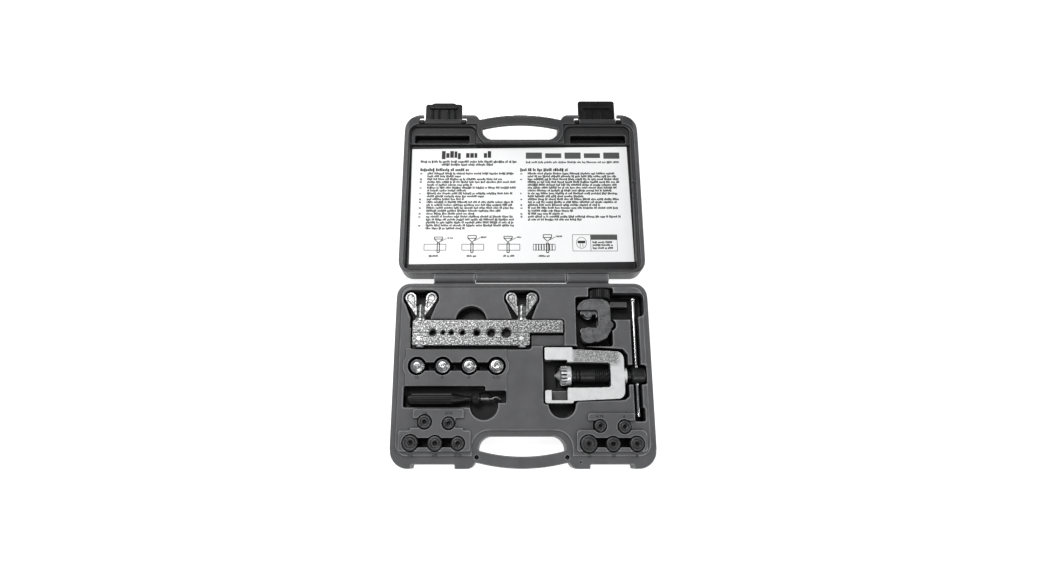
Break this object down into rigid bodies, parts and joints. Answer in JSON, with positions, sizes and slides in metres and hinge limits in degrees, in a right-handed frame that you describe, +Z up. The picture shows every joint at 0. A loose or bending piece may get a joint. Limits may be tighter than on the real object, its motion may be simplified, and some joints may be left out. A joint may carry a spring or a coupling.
{
  "type": "flaring tool kit",
  "caption": "Hinged carry case, open flat, holding a split flaring bar with wing nuts, a screw yoke, a tube cutter, a deburring tool and size adapters.",
  "frame": {"origin": "on the underside of the tray half, below the middle of the tray", "axes": "+X to the right along the hinge, +Y from the front edge towards the hinge and the open lid, +Z up"},
  "size_m": [0.287, 0.4477, 0.0346],
  "materials": {
    "case_base_plastic": "mid grey blow-moulded polyethylene with a fine sand texture",
    "case_lid_plastic": "dark grey blow-moulded polyethylene with a fine sand texture",
    "hinge_steel": "plain drawn steel rod",
    "printed_card": "white coated card with black print",
    "latch_plastic": "gloss black moulded plastic",
    "bar_zinc": "zinc plate over a shot-blasted forging, speckled",
    "nut_zinc": "bright zinc plate",
    "bright_steel": "ground and polished steel",
    "yoke_silver": "light silver paint over a casting",
    "black_oxide": "oiled black oxide on steel",
    "tbar_chrome": "polished chrome plate",
    "cutter_grey": "grey paint over a zinc die casting",
    "knob_black": "black anodised aluminium, knurled",
    "handle_black": "black anodised fluted handle",
    "adapter_zinc": "bright zinc plate over turned steel",
    "adapter_dark": "dark oiled oxide over turned steel"
  },
  "bodies": {
    "case_base": {"case_base": "case_base_plastic", "hinge_pin": "hinge_steel"},
    "case_lid": {"case_lid": "case_lid_plastic", "instruction_card": "printed_card", "latch_pin_left": "hinge_steel", "latch_pin_right": "hinge_steel"},
    "latch_left": {"latch_left": "latch_plastic"},
    "latch_right": {"latch_right": "latch_plastic"},
    "flaring_bar": {"bar_long_half": "bar_zinc", "nut_washer_left": "nut_zinc", "nut_washer_right": "nut_zinc"},
    "bar_short_half": {"bar_short_half": "bar_zinc", "clamp_bolt_left": "bright_steel", "clamp_bolt_right": "bright_steel", "bolt_pin_left": "bright_steel", "bolt_pin_right": "bright_steel"},
    "wing_nut_left": {"wing_nut_left": "nut_zinc"},
    "wing_nut_right": {"wing_nut_right": "nut_zinc"},
    "yoke": {"yoke_frame": "yoke_silver"},
    "feed_screw": {"feed_screw": "black_oxide"},
    "t_bar": {"t_bar": "tbar_chrome"},
    "flare_cone": {"flare_cone": "bright_steel", "cone_collar": "bright_steel", "cone_sleeve": "black_oxide"},
    "tube_cutter": {"cutter_body": "cutter_grey", "roller_pin_left": "bright_steel", "roller_pin_right": "bright_steel"},
    "cutter_knob": {"cutter_knob": "knob_black", "cutter_screw": "bright_steel"},
    "cutter_slide": {"cutter_slide": "bright_steel", "wheel_axle": "bright_steel"},
    "cutting_wheel": {"cutting_wheel": "bright_steel"},
    "roller_left": {"roller_left": "bright_steel"},
    "roller_right": {"roller_right": "bright_steel"},
    "deburring_tool": {"deburr_handle": "handle_black", "deburr_shank": "bright_steel", "deburr_collar": "black_oxide"},
    "deburr_blade": {"deburr_blade": "bright_steel"},
    "bubble_adapter_1": {"bubble_adapter_1": "adapter_zinc"},
    "bubble_adapter_2": {"bubble_adapter_2": "adapter_zinc"},
    "bubble_adapter_3": {"bubble_adapter_3": "adapter_zinc"},
    "bubble_adapter_4": {"bubble_adapter_4": "adapter_zinc"},
    "left_adapter_1": {"left_adapter_1": "adapter_dark"},
    "left_adapter_2": {"left_adapter_2": "adapter_dark"},
    "left_adapter_3": {"left_adapter_3": "adapter_dark"},
    "left_adapter_4": {"left_adapter_4": "adapter_dark"},
    "left_adapter_5": {"left_adapter_5": "adapter_dark"},
    "right_adapter_1": {"right_adapter_1": "adapter_dark"},
    "right_adapter_2": {"right_adapter_2": "adapter_dark"},
    "right_adapter_3": {"right_adapter_3": "adapter_dark"},
    "right_adapter_4": {"right_adapter_4": "adapter_dark"},
    "right_adapter_5": {"right_adapter_5": "adapter_dark"}
  },
  "joints": [
    {"name": "lid_hinge", "type": "hinge", "parent": "case_base", "child": "case_lid", "pos_m": [0, 0.1085, 0.028], "axis": [-1, 0, 0], "range_deg": [-180, 0]},
    {"name": "latch_left_turn", "type": "hinge", "parent": "case_lid", "child": "latch_left", "pos_m": [-0.0968, 0.312, 0.022], "axis": [1, 0, 0], "range_deg": [0, 90]},
    {"name": "latch_right_turn", "type": "hinge", "parent": "case_lid", "child": "latch_right", "pos_m": [0.0953, 0.312, 0.022], "axis": [1, 0, 0], "range_deg": [0, 90]},
    {"name": "bar_lift", "type": "slide", "parent": "case_base", "child": "flaring_bar", "axis": [0, 0, 1], "range_m": [0, 0.06]},
    {"name": "bar_open", "type": "slide", "parent": "flaring_bar", "child": "bar_short_half", "axis": [0, -1, 0], "range_m": [0, 0.002]},
    {"name": "wing_nut_left_turn", "type": "hinge", "parent": "flaring_bar", "child": "wing_nut_left", "pos_m": [-0.1152, 0.06005, 0.028], "axis": [0, 1, 0], "range_deg": [-25, 25]},
    {"name": "wing_nut_right_turn", "type": "hinge", "parent": "flaring_bar", "child": "wing_nut_right", "pos_m": [-0.0005, 0.06005, 0.028], "axis": [0, 1, 0], "range_deg": [-25, 25]},
    {"name": "yoke_lift", "type": "slide", "parent": "case_base", "child": "yoke", "axis": [0, 0, 1], "range_m": [0, 0.06]},
    {"name": "screw_turn", "type": "hinge", "parent": "yoke", "child": "feed_screw", "pos_m": [0.105, -0.0028, 0.0225], "axis": [1, 0, 0], "range_deg": [-7.5, 15]},
    {"name": "t_bar_slide", "type": "slide", "parent": "feed_screw", "child": "t_bar", "axis": [0, 1, 0], "range_m": [-0.004, 0.004]},
    {"name": "cone_swivel", "type": "hinge", "parent": "feed_screw", "child": "flare_cone", "pos_m": [0.0588, -0.0028, 0.0225], "axis": [1, 0, 0], "continuous": true},
    {"name": "cutter_lift", "type": "slide", "parent": "case_base", "child": "tube_cutter", "axis": [0, 0, 1], "range_m": [0, 0.06]},
    {"name": "knob_turn", "type": "hinge", "parent": "tube_cutter", "child": "cutter_knob", "pos_m": [0.09, 0.09, 0.0202], "axis": [0, 1, 0], "range_deg": [0, 2400]},
    {"name": "slide_feed", "type": "slide", "parent": "tube_cutter", "child": "cutter_slide", "axis": [0, -1, 0], "range_m": [0, 0.0101]},
    {"name": "wheel_spin", "type": "hinge", "parent": "cutter_slide", "child": "cutting_wheel", "pos_m": [0.075, 0.0675, 0.0202], "axis": [0, 0, 1], "continuous": true},
    {"name": "roller_left_spin", "type": "hinge", "parent": "tube_cutter", "child": "roller_left", "pos_m": [0.0695, 0.0468, 0.0202], "axis": [0, 0, 1], "continuous": true},
    {"name": "roller_right_spin", "type": "hinge", "parent": "tube_cutter", "child": "roller_right", "pos_m": [0.0805, 0.0468, 0.0202], "axis": [0, 0, 1], "continuous": true},
    {"name": "deburring_tool_lift", "type": "slide", "parent": "case_base", "child": "deburring_tool", "axis": [0, 0, 1], "range_m": [0, 0.06]},
    {"name": "blade_swivel", "type": "hinge", "parent": "deburring_tool", "child": "deburr_blade", "pos_m": [-0.04, -0.0284, 0.0235], "axis": [1, 0, 0], "continuous": true},
    {"name": "bubble_adapter_1_lift", "type": "slide", "parent": "case_base", "child": "bubble_adapter_1", "axis": [0, 0, 1], "range_m": [0, 0.06]},
    {"name": "bubble_adapter_2_lift", "type": "slide", "parent": "case_base", "child": "bubble_adapter_2", "axis": [0, 0, 1], "range_m": [0, 0.06]},
    {"name": "bubble_adapter_3_lift", "type": "slide", "parent": "case_base", "child": "bubble_adapter_3", "axis": [0, 0, 1], "range_m": [0, 0.06]},
    {"name": "bubble_adapter_4_lift", "type": "slide", "parent": "case_base", "child": "bubble_adapter_4", "axis": [0, 0, 1], "range_m": [0, 0.06]},
    {"name": "left_adapter_1_lift", "type": "slide", "parent": "case_base", "child": "left_adapter_1", "axis": [0, 0, 1], "range_m": [0, 0.06]},
    {"name": "left_adapter_2_lift", "type": "slide", "parent": "case_base", "child": "left_adapter_2", "axis": [0, 0, 1], "range_m": [0, 0.06]},
    {"name": "left_adapter_3_lift", "type": "slide", "parent": "case_base", "child": "left_adapter_3", "axis": [0, 0, 1], "range_m": [0, 0.06]},
    {"name": "left_adapter_4_lift", "type": "slide", "parent": "case_base", "child": "left_adapter_4", "axis": [0, 0, 1], "range_m": [0, 0.06]},
    {"name": "left_adapter_5_lift", "type": "slide", "parent": "case_base", "child": "left_adapter_5", "axis": [0, 0, 1], "range_m": [0, 0.06]},
    {"name": "right_adapter_1_lift", "type": "slide", "parent": "case_base", "child": "right_adapter_1", "axis": [0, 0, 1], "range_m": [0, 0.06]},
    {"name": "right_adapter_2_lift", "type": "slide", "parent": "case_base", "child": "right_adapter_2", "axis": [0, 0, 1], "range_m": [0, 0.06]},
    {"name": "right_adapter_3_lift", "type": "slide", "parent": "case_base", "child": "right_adapter_3", "axis": [0, 0, 1], "range_m": [0, 0.06]},
    {"name": "right_adapter_4_lift", "type": "slide", "parent": "case_base", "child": "right_adapter_4", "axis": [0, 0, 1], "range_m": [0, 0.06]},
    {"name": "right_adapter_5_lift", "type": "slide", "parent": "case_base", "child": "right_adapter_5", "axis": [0, 0, 1], "range_m": [0, 0.06]}
  ],
  "couplings": [
    {"joint": "slide_feed", "follows": "knob_turn", "m_per_rad": 0.00023873}
  ]
}
